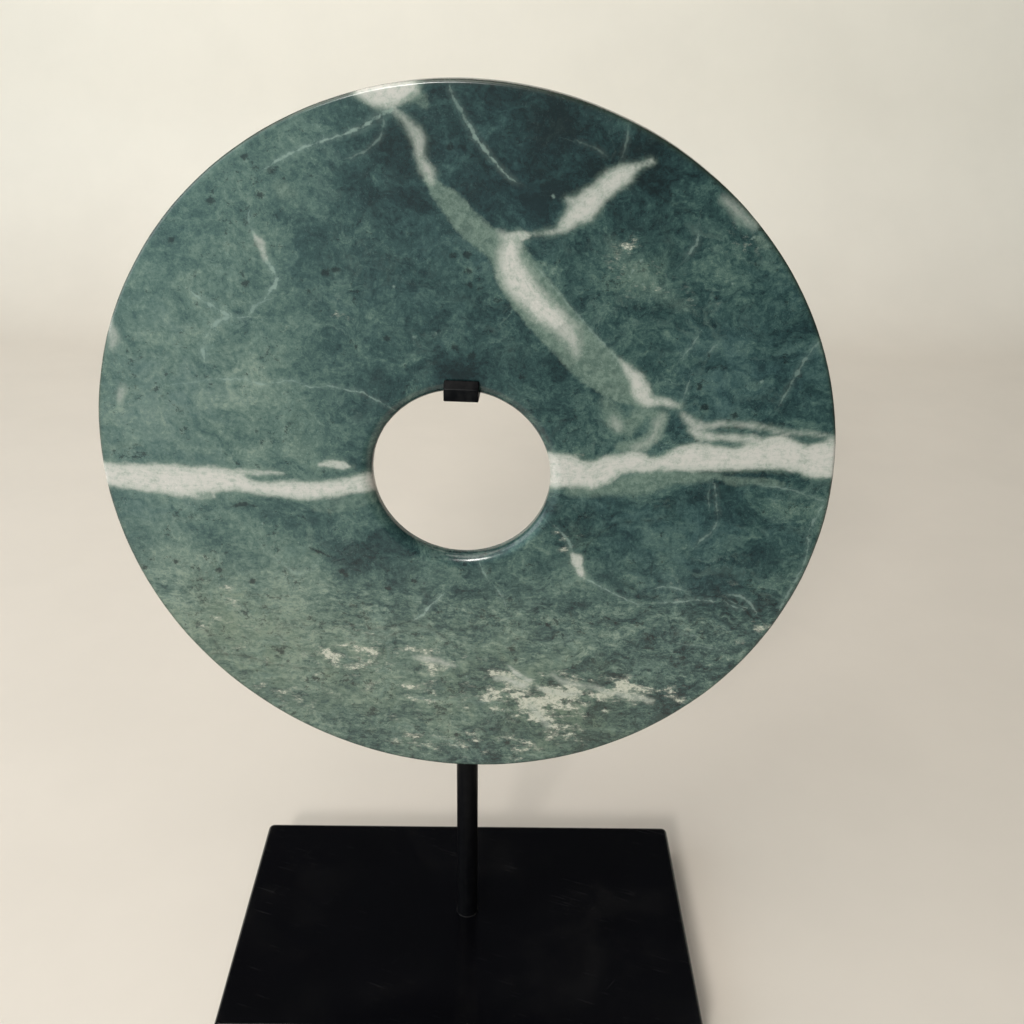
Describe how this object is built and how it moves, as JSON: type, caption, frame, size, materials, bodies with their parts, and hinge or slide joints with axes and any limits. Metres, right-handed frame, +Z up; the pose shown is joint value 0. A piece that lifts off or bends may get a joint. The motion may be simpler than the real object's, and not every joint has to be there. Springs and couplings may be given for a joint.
{
  "type": "jade disc on stand",
  "caption": "Flat round disc of veined green stone with a round centre hole, hung on a black hook, ring and rod stand with a flat rectangular base.",
  "frame": {"origin": "middle of the base's underside", "axes": "+Z up, -Y towards the viewer who sees the front of the disc, +X to that viewer's right; the disc is turned 3.4 degrees clockwise on its base, seen from above"},
  "size_m": [0.2898, 0.131, 0.4118],
  "materials": {
    "stone": "polished green serpentine with white calcite veins",
    "base_lacquer": "gloss black lacquer",
    "black_enamel": "semi-gloss black enamel on steel"
  },
  "bodies": {
    "root": {"jade_disc": "stone", "base": "base_lacquer", "rod": "black_enamel", "bracket_ring": "black_enamel", "hook": "black_enamel"}
  },
  "joints": []
}
